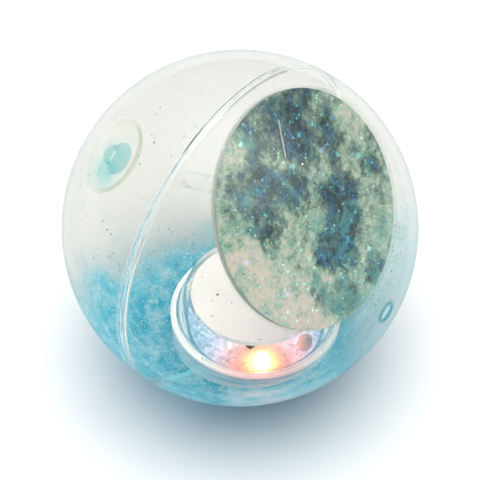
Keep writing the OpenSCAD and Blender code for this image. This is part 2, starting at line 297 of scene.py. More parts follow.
# Fine blue glitter has settled on the low side of the shell and tints it.
blue_side = Vector((-0.363, -0.599, -0.712)).normalized()
settled_side = Vector((0.531, 0.418, -0.737)).normalized()
shell_plastic, tree, out = material("clear_shell_plastic")
spot = own_place(tree)
ball_scale = scaled(tree, spot, 1 / ball_r)
from_middle = measure(tree, "LENGTH", ball_scale)
outside = maths(tree, "GREATER_THAN", from_middle, outer_skin)
cloud = grain_on(tree, ball_scale, 2.6, 7.0, 0.62)
cloud_edge = maths(tree, "MULTIPLY_ADD", cloud, 0.66, -0.33)
depth = maths(tree, "ADD", towards(tree, ball_scale, blue_side), cloud_edge)
deep = stepped(tree, depth, -0.14, 0.46, 0.0, 1.0)
low = stepped(tree, towards(tree, ball_scale, settled_side), -0.34, 0.0, 0.0, 1.0)
parts = [towards(tree, ball_scale, way) for way in (side, up, toward)]
thin_side = stepped(tree, parts[0], 0.25, 0.9, 1.0, 0.3)
blue = maths(tree, "MULTIPLY", maths(tree, "MULTIPLY", deep, low), thin_side)
off_middle = measure(tree, "LENGTH", add(tree, "CombineXYZ", X=parts[0], Y=parts[1]))
along = add(tree, "CombineXYZ", X=maths(tree, "MULTIPLY", off_middle, 7.0), Y=parts[0], Z=parts[1])
streak = grain_on(tree, along, 2.6, 9.0, 0.7)
curd = grain_on(tree, ball_scale, 8.0, 9.0, 0.72)
curl = blend(tree, stepped(tree, parts[0], 0.0, 0.4, 0.0, 1.0), curd.outputs["Color"],
             streak.outputs["Color"])
curl = add(tree, "SeparateColor", Color=curl).outputs[0]
fine = grain_on(tree, ball_scale, 48.0, 3.0, 0.6)
milk = maths(tree, "ADD", stepped(tree, curl, 0.42, 0.66, 0.0, 0.75, smooth=False),
             stepped(tree, fine, 0.58, 0.68, 0.0, 0.7), clamp=True)
shallow = maths(tree, "MAXIMUM", milk, stepped(tree, blue, 0.8, 0.15, 0.0, 0.9))
facing = facing_away(tree)
edge = colour_ramp(tree, facing, (0.5, (0.875, 0.865, 0.84)), (0.8, (0.84, 0.84, 0.82)),
                   (1.0, (0.6, 0.66, 0.64)))
tint = blend(tree, blue, edge, (0.17, 0.68, 0.84, 1), way="MULTIPLY")
# The full, low side passes less light to the table than to the eye.
under = stepped(tree, add(tree, "SeparateXYZ", Vector=ball_scale).outputs[2], 0.1, -0.6, 0.0, 1.0)
ray = add(tree, "LightPath")
light_way = maths(tree, "MAXIMUM", ray.outputs["Is Shadow Ray"], ray.outputs["Is Diffuse Ray"])
thick = maths(tree, "MULTIPLY", under, light_way)
tint = blend(tree, thick, tint, (0.02, 0.27, 0.36, 1), way="MULTIPLY")
clear = blend(tree, outside, (1, 1, 1, 1), tint)
through = add(tree, "BsdfTransparent", Color=clear)
settled = blend(tree, shallow, (0.0, 0.66, 0.92, 1), (0.74, 0.99, 1.0, 1))
# A pink pool of lamp light is painted on the low front of the film.
from_lamp_side = measure(tree, "DISTANCE", ball_scale, tuple(0.1 * side - 0.93 * up + 0.35 * toward))
lamp_pink_on_film = maths(tree, "MULTIPLY", stepped(tree, from_lamp_side, 0.08, 0.3, 0.62, 0.0),
             stepped(tree, streak, 0.38, 0.56, 0.2, 1.0))
settled = blend(tree, lamp_pink_on_film, settled, (0.92, 0.5, 0.62, 1))
# The weld bead stands in low ridges beside the seam, which are not modelled: their milky crests and the
# darker lines between them are painted, the dark lines as painted shade.
far_side = stepped(tree, parts[2], -0.02, -0.22, 1.0, 0.08)
off_seam = maths(tree, "ABSOLUTE", add(tree, "SeparateXYZ", Vector=spot).outputs[1])
near_seam = stepped(tree, off_seam, bead_half, bead_half - bead_fade, 0.0, 1.0, smooth=False)
bead = maths(tree, "MULTIPLY", far_side, near_seam)
bead_lines = maths(tree, "SINE", maths(tree, "MULTIPLY", off_seam, 2 * math.pi / bead_ridge))
bead_milk = maths(tree, "MULTIPLY", bead, stepped(tree, bead_lines, -0.2, 0.8, 0.1, 0.55))
bead_ridge_shade = blend(tree, stepped(tree, bead_lines, -0.9, 0.3, 0.0, 1.0), (0.4, 0.48, 0.48, 1),
                  (0.95, 0.97, 0.96, 1))
film_colour = blend(tree, bead, settled, bead_ridge_shade)
# The film scatters light both ways, and an emission in its own colour makes it glow a little: a painted glow,
# though the film is no lamp.
film_glow_share = maths(tree, "MULTIPLY", 0.4, maths(tree, "SUBTRACT", 1.0, thick))
deep_colour = blend(tree, thick, film_colour, (0.04, 0.5, 0.62, 1), way="MULTIPLY")
film = add(tree, "BsdfDiffuse", Color=deep_colour)
glow = add(tree, "BsdfTranslucent", Color=deep_colour)
both = mixed(tree, 0.5, film, glow)
film_glow = add(tree, "Emission", Color=film_colour, Strength=1.25)
both = mixed(tree, film_glow_share, both, film_glow)
dust = grain_on(tree, ball_scale, 4.5, 12.0, 0.78)
uneven = maths(tree, "MULTIPLY", stepped(tree, blue, 0.0, 0.75, 0.0, 1.0),
               stepped(tree, curl, 0.36, 0.62, 0.76, 1.1))
veil = maths(tree, "MULTIPLY_ADD", uneven, 0.7, stepped(tree, dust, 0.5, 0.72, 0.012, 0.12))
cover = maths(tree, "MAXIMUM", maths(tree, "MAXIMUM", veil, bead_milk), lamp_pink_on_film)
covered = maths(tree, "MULTIPLY", cover, outside)
body = mixed(tree, covered, through, both)
shine = add(tree, "BsdfGlossy", Color=(0.97, 0.98, 0.98, 1),
            Roughness=stepped(tree, cloud, 0.3, 0.7, 0.02, 0.06))
steep = maths(tree, "POWER", facing, 5.0)
share = maths(tree, "MULTIPLY_ADD", steep, 0.4, 0.025)
outer_share = maths(tree, "MULTIPLY", share, outside)
mix = mixed(tree, outer_share, body, shine)
show(tree, mix, out)

outline = arc(ball_r, port_hole["front"], math.sqrt(ball_r ** 2 - seam_half ** 2), rim_steps)
outline += [(tongue_r + weld_gap, seam_half), (tongue_r + weld_gap, tongue_len + weld_gap)]
outline += list(reversed(arc(shell_in, port_hole["front"],
                             math.sqrt(shell_in ** 2 - (tongue_len + weld_gap) ** 2), rim_steps)))
fit_in(spun(outline, "front_shell", front_pole), shell_plastic, "clear_shell", "shell_front")

outline = arc(ball_r, port_hole["back"], math.sqrt(ball_r ** 2 - seam_half ** 2), rim_steps)
outline += [(tongue_r, seam_half), (tongue_r, -tongue_len), (shell_in, -tongue_len)]
outline += list(reversed(arc(shell_in, port_hole["back"], shell_in * 0.99999, rim_steps)))
fit_in(spun(outline, "back_shell", back_pole), shell_plastic, "clear_shell", "shell_back")


# ---------------------------------------------------------------- seam ring
# A clear ring is welded into the groove where the half shells meet. Its outer face has
# fine grooves. Its far side is seen through the water, and film hides it low down.

ring_half = seam_half - weld_gap
groove = 0.14 * mm
outline = [(tongue_r + 0.08 * mm, -ring_half), (ball_r - 0.02 * mm, -ring_half)]
for z in (-0.2 * mm, 0.2 * mm):
    for a in range(5):
        turn = math.pi * a / 4
        outline.append((ball_r - groove * math.sin(turn), z - groove * math.cos(turn)))
outline += [(ball_r - 0.02 * mm, ring_half), (tongue_r + 0.08 * mm, ring_half)]
seam_clear, tree, out = material("seam_ring_plastic")
ring_plastic = add(tree, "BsdfPrincipled", Base_Color=(0.9, 0.94, 0.93, 1), Roughness=0.03, IOR=1.3)
ring_plastic.inputs["Transmission Weight"].default_value = 1.0
far_place = scaled(tree, own_place(tree), 1 / ball_r)
# Low down the ring takes the film's blue, half of it a painted glow from an emission, though the ring is no
# lamp.
ring_film_glow = mixed(tree, 0.45, add(tree, "BsdfDiffuse", Color=(0.3, 0.82, 0.93, 1)),
                  add(tree, "Emission", Color=(0.3, 0.82, 0.93, 1), Strength=1.0))
low_down = stepped(tree, add(tree, "SeparateXYZ", Vector=far_place).outputs[2], -0.2, -0.5, 0.0, 0.75)
clear = add(tree, "BsdfTransparent", Color=(0.97, 0.98, 0.98, 1))
on_far_side = stepped(tree, towards(tree, far_place, toward), -0.02, -0.2, 0.0, 0.97)
show(tree, mixed(tree, on_far_side, ring_plastic, mixed(tree, low_down, clear, ring_film_glow)), out)
fit_in(spun(outline, "seam_band", front_pole, 256), seam_clear, "seam_clear", "seam_ring")


# ---------------------------------------------------------------- fill plug
# A small clear-blue plug pushed into the port at the front pole after the ball is filled.
# Its head is dished and its barb holds it from inside.

plug_low, plug_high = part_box("fill_plug")
plug_out, plug_in = -plug_low.y, -plug_high.y
plug_head = (plug_high.x - plug_low.x) / 2
plug_stem = 1.45 * mm
outline = [(0, plug_out - 0.32 * mm), (plug_head - 0.6 * mm, plug_out - 0.3 * mm),
           (plug_head - 0.45 * mm, plug_out - 0.05 * mm), (plug_head - 0.3 * mm, plug_out),
           (plug_head - 0.08 * mm, plug_out - 0.03 * mm), (plug_head, plug_out - 0.12 * mm),
           (plug_head, plug_out - 0.45 * mm), (plug_stem, plug_out - 0.45 * mm),
           (plug_stem, plug_in + 1.1 * mm), (plug_stem + 0.25 * mm, plug_in + 1.1 * mm),
           (plug_stem - 0.2 * mm, plug_in), (0, plug_in)]
plug_blue, tree, out = material("plug_clear_blue")
spot = own_place(tree)
off_pole = measure(tree, "LENGTH", vectors(tree, "MULTIPLY", spot, (1, 0, 1)))
in_head = stepped(tree, add(tree, "SeparateXYZ", Vector=spot).outputs[1], -31.8 * mm, -32.0 * mm, 0.0, 1.0)
on_rim = stepped(tree, off_pole, plug_head - 0.75 * mm, plug_head - 0.45 * mm, 0.0, 1.0)
head_rim = maths(tree, "MULTIPLY", in_head, on_rim)
rim_tint = blend(tree, head_rim, (0.975, 0.99, 0.99, 1), (0.42, 0.74, 0.78, 1))
cloudy = grain_on(tree, spot, 900.0, 3.0)
through = add(tree, "BsdfTransparent", Color=rim_tint)
shine = add(tree, "BsdfGlossy", Color=(1, 1, 1, 1), Roughness=stepped(tree, cloudy, 0.3, 0.7, 0.02, 0.1))
steep = maths(tree, "POWER", facing_away(tree), 4.0)
share = maths(tree, "MULTIPLY", steep, maths(tree, "MULTIPLY_ADD", in_head, 0.55, 0.05))
mix = mixed(tree, share, through, shine)
show(tree, mix, out)
fit_in(spun(outline, "port_plug", front_pole, 64, closed=False), plug_blue, "plug_clear", "fill_plug")

boss_out, boss_in, boss_low = 3.2 * mm, 1.55 * mm, 29.8 * mm
boss = [(plug_head + 0.1 * mm, 32.36 * mm), (plug_head + 0.3 * mm, 32.41 * mm),
        (plug_head + 0.5 * mm, 32.36 * mm), (plug_head + 0.5 * mm, 31.2 * mm), (boss_out, 30.7 * mm),
        (boss_out, boss_low), (boss_in, boss_low), (boss_in, 31.85 * mm), (plug_head + 0.1 * mm, 31.85 * mm)]
boss_plastic = clear_plastic("port_boss_plastic", (0.985, 0.99, 0.99), (0.93, 0.96, 0.96), 0.12)
fit_in(spun(boss, "fill_port_boss", front_pole, 64), boss_plastic, "clear_shell")


# ---------------------------------------------------------------- back cap
# A frosted beige cap closes the large port at the back pole on a flat seal. A soft
# turquoise valve is pulled into the middle of it.

def speckled(name, colour, speck, scale, share, roughness, bump=0.0, clear=0.0):
    """Plain plastic or rubber with fine darker specks and a slightly uneven surface."""
    made, tree, out = material(name)
    grain = grain_on(tree, own_place(tree), scale, 4.0)
    cut = stepped(tree, grain, 0.5, 0.75, 0.0, share, smooth=False)
    tint = blend(tree, cut, (*colour, 1), (*speck, 1))
    lift = add(tree, "Bump", Height=grain, Strength=bump, Distance=0.05 * mm)
    body = add(tree, "BsdfPrincipled", Base_Color=tint, Roughness=roughness, Normal=lift)
    if clear:
        body = mixed(tree, clear, body, add(tree, "BsdfTransparent", Color=(*colour, 1)))
    show(tree, body, out)
    return made


cap_r = 7.95 * mm
cap_core = 7.15 * mm
valve_r = 1.95 * mm
valve_flange = 3.3 * mm
outline = arc(ball_r, valve_r + 0.05 * mm, cap_r, 24)
outline += [(cap_r, 31.0 * mm), (cap_core, 31.2 * mm)]
outline += list(reversed(arc(shell_in, valve_r + 0.05 * mm, cap_core, 24)))
cap_beige, tree, out = material("cap_frosted_beige")
spot = own_place(tree)
from_blot = measure(tree, "DISTANCE", spot, (-1.6 * mm, 31.5 * mm, -1.6 * mm))
wisp = grain_on(tree, spot, 260.0, 6.0, 0.7)
blot = maths(tree, "MULTIPLY", stepped(tree, from_blot, 0.5 * mm, 6.2 * mm, 1.0, 0.0),
             stepped(tree, wisp, 0.34, 0.62, 0.1, 1.0))
stain = blend(tree, blot, (0.965, 0.97, 0.94, 1), (0.42, 0.84, 0.87, 1))
through = add(tree, "BsdfTransparent", Color=stain)
frost = add(tree, "BsdfPrincipled", Base_Color=stain, Roughness=0.5)
mix = mixed(tree, 0.1, through, frost)
show(tree, mix, out)
fit_in(spun(outline, "back_cap", back_pole, 96), cap_beige, "cap_frosted", "port_cap")

outline = [(0, 32.4 * mm), (valve_r - 0.2 * mm, 32.38 * mm), (valve_r, 32.2 * mm), (valve_r, 30.45 * mm),
           (valve_flange - 0.2 * mm, 30.4 * mm), (valve_flange, 30.2 * mm), (valve_flange, 29.6 * mm),
           (valve_flange - 0.2 * mm, 29.4 * mm), (0, 29.4 * mm)]
valve_rubber = speckled("valve_turquoise_rubber", (0.82, 0.955, 0.96), (0.6, 0.88, 0.9), 500.0, 0.9, 0.45,
                        0.2, 0.86)
fit_in(spun(outline, "cap_valve", back_pole, 64, closed=False), valve_rubber, "valve_turquoise", "port_valve")


def remade(node, name, bevel=0.0):
    """A merged copy of a CAD node's mesh, with its sharp edges softened."""
    bm = bmesh.new()
    bm.from_mesh(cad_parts[node].data)
    bmesh.ops.remove_doubles(bm, verts=bm.verts, dist=0.002 * mm)
    if bevel:
        sharp = [e for e in bm.edges if len(e.link_faces) == 2 and e.calc_face_angle(0) > math.radians(40)]
        bmesh.ops.bevel(bm, geom=sharp, offset=bevel, offset_type="OFFSET", affect="EDGES", segments=2,
                        profile=0.5, material=-1, clamp_overlap=True)
    return piece_from(bm, name)


seal_clear = clear_plastic("clear_seal", (0.975, 0.98, 0.97), (0.95, 0.955, 0.945), 0.03)
seal_rubber = speckled("soft_white_seal", (0.95, 0.94, 0.91), (0.88, 0.88, 0.85), 700.0, 0.5, 0.4)
fit_in(remade("port_seal", "cap_seal"), seal_clear, "seal_rubber", "port_seal")


# ---------------------------------------------------------------- moon disc
# A printed picture of the moon's face lies in a shallow pale tray with a clear rim, under a
# clear domed lens. Blue, green and turquoise glitter is stuck all over the print.

disc_tilt = math.radians(35)
print_turn = math.radians(36.1)
tray_low, tray_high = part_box("moon_tray")
tray_r = (tray_high.x - tray_low.x) / 2
tray_floor, tray_rim = 1.1 * mm, 0.7 * mm
disc_out = Vector((0, -math.cos(disc_tilt), math.sin(disc_tilt)))
disc_centre = (tray_low + tray_high) / 2 + disc_out * (tray_floor - tray_rim) / 2
on_disc = Matrix.Translation(disc_centre) @ Matrix.Rotation(math.pi / 2 - disc_tilt, 4, "X")
lens_r = tray_r - 0.4 * mm
print_t = 0.2 * mm
lens_edge, lens_crown = 0.75 * mm, 0.95 * mm

outline = [(0, -tray_floor), (tray_r - 0.25 * mm, -tray_floor), (tray_r, -tray_floor + 0.25 * mm),
           (tray_r, tray_rim - 0.1 * mm), (tray_r - 0.1 * mm, tray_rim), (tray_r - 0.3 * mm, tray_rim),
           (tray_r - 0.35 * mm, tray_rim - 0.05 * mm), (tray_r - 0.35 * mm, 0), (0, 0)]
print_frame = on_disc @ Matrix.Rotation(-print_turn, 4, "Z")


def print_place(tree):
    """Places on the picture's face, in radii of the lens: x to its right and y to its top."""
    return add(tree, "Mapping", {"vector_type": "TEXTURE"}, Vector=own_place(tree),
               Location=tuple(disc_centre), Rotation=tuple(print_frame.to_euler()), Scale=(lens_r,) * 3)


tray_plastic, tree, out = material("tray_clear_rim")
face = vectors(tree, "MULTIPLY", print_place(tree), (1, 1, 0))
rim = stepped(tree, measure(tree, "LENGTH", face), 0.985, 1.0, 0.0, 1.0)
dull = grain_on(tree, face, 60.0, 4.0)
back = add(tree, "BsdfPrincipled", Base_Color=(0.86, 0.9, 0.88, 1),
           Roughness=stepped(tree, dull, 0.3, 0.7, 0.3, 0.5))
clear = add(tree, "BsdfTransparent", Color=(0.96, 0.97, 0.96, 1))
mix = mixed(tree, rim, back, clear)
show(tree, mix, out)
fit_in(spun(outline, "picture_tray", on_disc, 160, closed=False), tray_plastic, "tray_white", "moon_tray")

lens_sphere = (lens_r ** 2 + lens_crown ** 2) / (2 * lens_crown)
lens_top = print_t + lens_edge + lens_crown
outline = [(0, print_t + 0.02 * mm), (lens_r, print_t + 0.02 * mm)]
outline += [(r, h + lens_top - lens_sphere) for r, h in reversed(arc(lens_sphere, 0, lens_r, 40))]
lens_plastic = clear_plastic("moon_lens_plastic", (0.99, 0.995, 0.99), (0.9, 0.94, 0.92), 0.35, 0.01)
fit_in(spun(outline, "picture_lens", on_disc, 160, closed=False), lens_plastic, "lens_clear", "moon_lens")


def sea(tree, place, centre, radius, soft):
    """A soft round patch: 1 in the middle and 0 outside, in print units."""
    away = measure(tree, "DISTANCE", place, (*centre, 0))
    return stepped(tree, away, radius + soft, max(0.0, radius - soft), 0.0, 1.0)


glint_hues = [(0.0, (0.05, 0.4, 0.75)), (0.3, (0.1, 0.75, 0.72)), (0.62, (0.15, 0.9, 0.5)),
              (0.8, (0.45, 0.9, 0.95)), (0.92, (0.25, 0.3, 0.85))]


def glints(tree, place, scale, share, gain):
    """Painted glints: tiny cells that glow by an emission, scattered over a surface. Returns their mask and
    their random colour.
    """
    cells = add(tree, "TexVoronoi", Vector=place, Scale=scale)
    dot = maths(tree, "LESS_THAN", cells.outputs["Distance"], 0.42)
    pick = add(tree, "SeparateColor", Color=cells.outputs["Color"])
    lucky = maths(tree, "GREATER_THAN", pick.outputs[0], 1 - share)
    mask = maths(tree, "MULTIPLY", dot, lucky)
    strength = maths(tree, "MULTIPLY", mask, gain)
    hue = colour_ramp(tree, pick.outputs[1], *glint_hues)
    hue.color_ramp.interpolation = "CONSTANT"
    return strength, hue


moon_paint, tree, out = material("moon_print_paint")
flat = print_place(tree)
wobble = grain_on(tree, flat, 5.0, 6.0, 0.62)
fray = grain_on(tree, flat, 17.0, 7.0, 0.7)
ragged = flat
for bend, reach in ((wobble, 0.3), (fray, 0.06)):
    shift = vectors(tree, "SUBTRACT", bend.outputs["Color"], (0.5, 0.5, 0.5))
    ragged = vectors(tree, "ADD", ragged, scaled(tree, shift, reach))

# Dark seas, and pale uplands with a negative depth: x, y, radius and depth of tone.
seas = [(-0.76, 0.12, 0.12, 1.0), (-0.5, -0.1, 0.15, 1.1), (-0.44, -0.26, 0.08, 1.0),
        (-0.72, -0.05, 0.08, 0.7), (-0.48, 0.17, 0.14, 1.3), (-0.2, 0.15, 0.16, 1.4),
        (0.14, 0.14, 0.1, 0.7), (-0.34, 0.74, 0.13, 1.1), (-0.17, 0.58, 0.19, 1.1), (-0.06, 0.4, 0.12, 0.5),
        (0.2, 0.68, 0.15, 0.75), (0.26, 0.52, 0.13, 0.5), (0.46, 0.6, 0.1, 0.1), (0.72, 0.38, 0.1, 0.8),
        (0.36, 0.2, 0.15, 1.0), (0.5, 0.14, 0.1, 0.6), (0.28, 0.03, 0.15, 0.8), (0.48, -0.09, 0.14, 1.4),
        (0.31, -0.18, 0.16, 1.1), (0.25, -0.34, 0.16, 1.3), (0.46, -0.36, 0.13, 1.0),
        (0.13, -0.36, 0.12, 0.9), (0.12, -0.5, 0.08, 0.6), (0.74, -0.48, 0.14, 1.0),
        (0.4, -0.72, 0.16, 1.1), (0.12, -0.74, 0.1, 0.9), (-0.6, 0.62, 0.2, 0.5), (-0.5, 0.4, 0.16, 0.3),
        (-0.14, 0.9, 0.17, 0.7), (-0.66, 0.28, 0.12, 0.35), (-0.63, -0.38, 0.13, -0.8),
        (-0.8, -0.5, 0.16, -0.8), (0.0, -0.38, 0.1, -0.5), (-0.18, -0.08, 0.12, -0.2),
        (-0.3, 0.31, 0.06, -0.5), (0.21, -0.55, 0.08, -0.4), (-0.04, -0.95, 0.2, -1.6),
        (-0.27, -0.9, 0.14, -0.7), (0.72, -0.16, 0.15, -0.1), (0.46, 0.8, 0.14, -0.75),
        (0.16, 0.88, 0.1, -0.2), (0.48, 0.33, 0.1, -0.3), (-0.86, 0.42, 0.13, -0.8),
        (-0.45, -0.7, 0.24, -0.75), (-0.5, -0.5, 0.12, -0.4), (0.02, 0.27, 0.08, -0.3)]
tone = add(tree, "SeparateXYZ", Vector=flat)
level = stepped(tree, tone.outputs[1], -1.0, 1.0, 0.8, 0.5, smooth=False)
for x, y, radius, depth in seas:
    patch = sea(tree, ragged, (x, y), radius, 0.08)
    level = maths(tree, "MULTIPLY_ADD", patch, -0.39 * depth, level)
level = maths(tree, "MAXIMUM", level, 0.1)
mottle = grain_on(tree, flat, 9.0, 12.0, 0.7)
uneven = maths(tree, "MULTIPLY_ADD", mottle, 2.0, -1.0)
grit = grain_on(tree, flat, 70.0, 4.0, 0.7)
uneven = maths(tree, "MULTIPLY_ADD", grit, 0.9, maths(tree, "SUBTRACT", uneven, 0.45))
level = maths(tree, "ADD", level, uneven)
inks = [(0.0, (0.01, 0.03, 0.038)), (0.14, (0.035, 0.085, 0.085)), (0.32, (0.12, 0.19, 0.16)),
        (0.5, (0.28, 0.41, 0.33)), (0.68, (0.5, 0.67, 0.54)), (0.84, (0.74, 0.83, 0.7)),
        (1.0, (0.97, 0.87, 0.76))]
ink = colour_ramp(tree, level, *inks)
teal_patch = grain_on(tree, flat, 3.4, 5.0, 0.6)
teal_grain = grain_on(tree, flat, 22.0, 6.0, 0.75)
teal_at = maths(tree, "ADD", teal_patch, teal_grain)
teal_low = maths(tree, "MULTIPLY_ADD", tone.outputs[1], -0.1, teal_at)
teal = blend(tree, stepped(tree, teal_low, 0.98, 1.22, 0.0, 0.6), ink, (0.14, 0.58, 0.54, 1))
blue_grain = grain_on(tree, flat, 55.0, 3.0, 0.7)
blue_patch = grain_on(tree, flat, 6.5, 4.0, 0.6)
dark_here = maths(tree, "MULTIPLY", stepped(tree, level, 0.5, 0.15, 0.15, 1.0),
                  stepped(tree, blue_patch, 0.42, 0.6, 0.1, 1.0))
blue_fine = maths(tree, "MULTIPLY", dark_here, stepped(tree, blue_grain, 0.46, 0.58, 0.05, 0.9))
picture = blend(tree, blue_fine, teal, (0.07, 0.27, 0.56, 1))
scratch_x = maths(tree, "MULTIPLY_ADD", tone.outputs[1], 0.26, tone.outputs[0])
scratch_bow = maths(tree, "MULTIPLY_ADD", fray, 0.03, 0.152)
off_scratch = maths(tree, "ABSOLUTE", maths(tree, "ADD", scratch_x, scratch_bow))
along_scratch = maths(tree, "ABSOLUTE", maths(tree, "SUBTRACT", tone.outputs[1], 0.56))
scratch = maths(tree, "MULTIPLY", stepped(tree, off_scratch, 0.012, 0.004, 0.0, 0.8),
                stepped(tree, along_scratch, 0.17, 0.13, 0.0, 1.0))
picture = blend(tree, scratch, picture, (0.9, 0.9, 0.86, 1))
blush = sea(tree, ragged, (-0.08, -1.0), 0.26, 0.16)
pale_here = maths(tree, "MULTIPLY", blush, stepped(tree, mottle, 0.4, 0.56, 0.1, 0.95))
picture = blend(tree, pale_here, picture, (1.0, 0.84, 0.76, 1))
glint, glint_hue = glints(tree, flat, 40.0, 0.06, 0.75)
big_glint, big_hue = glints(tree, flat, 16.0, 0.022, 0.5)
glint_hue = blend(tree, maths(tree, "GREATER_THAN", big_glint, 0.1), glint_hue, big_hue)
glint = maths(tree, "MAXIMUM", glint, big_glint)
film = add(tree, "BsdfPrincipled", Base_Color=picture, Roughness=0.45, Emission_Color=glint_hue,
           Emission_Strength=glint)
show(tree, film, out)
outline = [(0, 0.02 * mm), (lens_r - 0.1 * mm, 0.02 * mm), (lens_r - 0.1 * mm, print_t), (0, print_t)]
fit_in(spun(outline, "moon_picture", on_disc, 160, closed=False), moon_paint, "moon_print", "moon_print")

arm_plastic = clear_plastic("arm_plastic", (0.985, 0.992, 0.99), (0.9, 0.93, 0.93), 0.35)
fit_in(remade("moon_arms", "picture_arms", 0.08 * mm), arm_plastic, "arm_clear", "moon_arms")


# ---------------------------------------------------------------- flasher pod
# A sealed clear pod is stuck to the bottom of the ball and keeps the water out: a cup that
# follows the shell, a flat-topped cover and a soft white seal between their flanges.

pod_y = -3.9 * mm
pod_axis = Matrix.Translation((0, pod_y, 0))
pod_r = 16.6 * mm
pod_top, pod_top_r = -14.2 * mm, 13.4 * mm
foot_r = 15.5 * mm
joint_top, flange_top = -21.1 * mm, -20.3 * mm
pod_wall = 0.9 * mm
outline = [(0, pod_top), (pod_top_r - 0.4 * mm, pod_top), (pod_top_r - 0.1 * mm, pod_top - 0.12 * mm),
           (pod_top_r + 0.06 * mm, pod_top - 0.4 * mm), (foot_r, flange_top + 0.2 * mm),
           (foot_r + 0.2 * mm, flange_top), (pod_r - 0.15 * mm, flange_top),
           (pod_r, flange_top - 0.15 * mm), (pod_r, joint_top + 0.15 * mm), (pod_r - 0.15 * mm, joint_top),
           (foot_r - pod_wall, joint_top), (foot_r - pod_wall, flange_top),
           (pod_top_r - pod_wall, pod_top - pod_wall), (0, pod_top - pod_wall)]


def off_pod_axis(tree, place):
    """Distance from the pod's axis."""
    away = vectors(tree, "SUBTRACT", place, (0, pod_y, 0))
    flat_away = vectors(tree, "MULTIPLY", away, (1, 1, 0))
    return measure(tree, "LENGTH", flat_away)


def round_pod(tree, place):
    """Coordinates that run round the pod's axis, for marks drawn out along its rim."""
    across = add(tree, "SeparateXYZ", Vector=vectors(tree, "SUBTRACT", place, (0, pod_y, 0)))
    angle = maths(tree, "ARCTAN2", across.outputs[1], across.outputs[0])
    turned = add(tree, "CombineXYZ", X=off_pod_axis(tree, place), Y=across.outputs[2])
    turned = scaled(tree, turned, 3200.0)
    return vectors(tree, "ADD", turned, add(tree, "CombineXYZ", Z=maths(tree, "MULTIPLY", angle, 1.6)))


def foot_of(low, high):
    """The middle of a box's lower face."""
    return Vector(((low.x + high.x) / 2, (low.y + high.y) / 2, low.z))


pod_plastic, tree, out = material("pod_plastic")
spot = own_place(tree)
from_axis = off_pod_axis(tree, spot)
lamp_low, lamp_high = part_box("lamp_warm")
lamp_foot = foot_of(lamp_low, lamp_high)
lamp_away = measure(tree, "DISTANCE", spot, tuple(lamp_foot))
# Near the lamp the clear slope is tinted pink: painted lamp light.
slope_lamp_tint = blend(tree, stepped(tree, lamp_away, 4.5 * mm, 12 * mm, 1.0, 0.0), (0.62, 0.86, 0.94, 1),
                   (1.0, 0.86, 0.86, 1))
slope = blend(tree, stepped(tree, from_axis, 12.6 * mm, 13.6 * mm, 0.0, 1.0), (0.985, 0.98, 0.975, 1),
              slope_lamp_tint)
wave = grain_on(tree, spot, 150.0, 3.0)
body = add(tree, "BsdfPrincipled", Base_Color=slope, IOR=1.2,
           Roughness=stepped(tree, wave, 0.3, 0.7, 0.0, 0.04))
body.inputs["Transmission Weight"].default_value = 1.0
# A pale band of glue round the flange glows by an emission, a painted highlight, and turns pink near the
# lamp, painted lamp light.
lamp_pink_share = stepped(tree, lamp_away, 4 * mm, 12 * mm, 0.75, 0.0)
glue_glow_tint = blend(tree, lamp_pink_share, (0.97, 0.95, 0.92, 1), (0.96, 0.55, 0.6, 1))
glue_glow = add(tree, "BsdfPrincipled", Base_Color=glue_glow_tint, Roughness=0.3, Emission_Color=glue_glow_tint,
           Emission_Strength=0.34)
smear = grain_on(tree, round_pod(tree, spot), 1.0, 5.0, 0.65)
glue_glow_share = maths(tree, "MULTIPLY", stepped(tree, from_axis, 15.3 * mm, 15.6 * mm, 0.0, 0.92),
              stepped(tree, smear, 0.34, 0.56, 0.4, 1.0))
mix = mixed(tree, glue_glow_share, body, glue_glow)
show(tree, mix, out)
fit_in(spun(outline, "pod_cover_clear", pod_axis, 160, closed=False), pod_plastic, "pod_clear", "pod_cover")

cup_plastic, tree, out = material("cup_plastic")
spot = own_place(tree)
from_axis = off_pod_axis(tree, spot)
# A milky band round the cup's rim glows by an emission: a painted highlight of the thick clear wall, pink
# near the lamp, painted lamp light.
rim = stepped(tree, from_axis, 14.7 * mm, 15.3 * mm, 0.0, 0.6)
ripple = grain_on(tree, round_pod(tree, spot), 0.8, 5.0, 0.65)
rim_glow_share = maths(tree, "MULTIPLY", rim, stepped(tree, ripple, 0.36, 0.62, 0.3, 1.0))
edge = facing_away(tree)
clear = add(tree, "BsdfTransparent", Color=(0.9, 0.97, 0.985, 1))
lamp_away = measure(tree, "DISTANCE", spot, tuple(lamp_foot))
lamp_pink_share = maths(tree, "MULTIPLY", stepped(tree, lamp_away, 3 * mm, 11 * mm, 1.0, 0.0),
              stepped(tree, ripple, 0.35, 0.65, 0.3, 1.0))
rim_glow_tint = blend(tree, lamp_pink_share, (0.78, 0.91, 0.95, 1), (0.95, 0.56, 0.64, 1))
rim_glow = add(tree, "BsdfPrincipled", Base_Color=rim_glow_tint, Roughness=0.25, Emission_Color=rim_glow_tint,
            Emission_Strength=0.3)
shine = add(tree, "BsdfGlossy", Color=(1, 1, 1, 1), Roughness=0.04)
wall = mixed(tree, rim_glow_share, clear, rim_glow)
steep = maths(tree, "POWER", edge, 4.0)
share = maths(tree, "MULTIPLY_ADD", steep, 0.5, 0.03)
mix = mixed(tree, share, wall, shine)
show(tree, mix, out)
fit_in(remade("pod_cup", "pod_cup_clear", 0.1 * mm), cup_plastic, "pod_clear", "pod_cup")

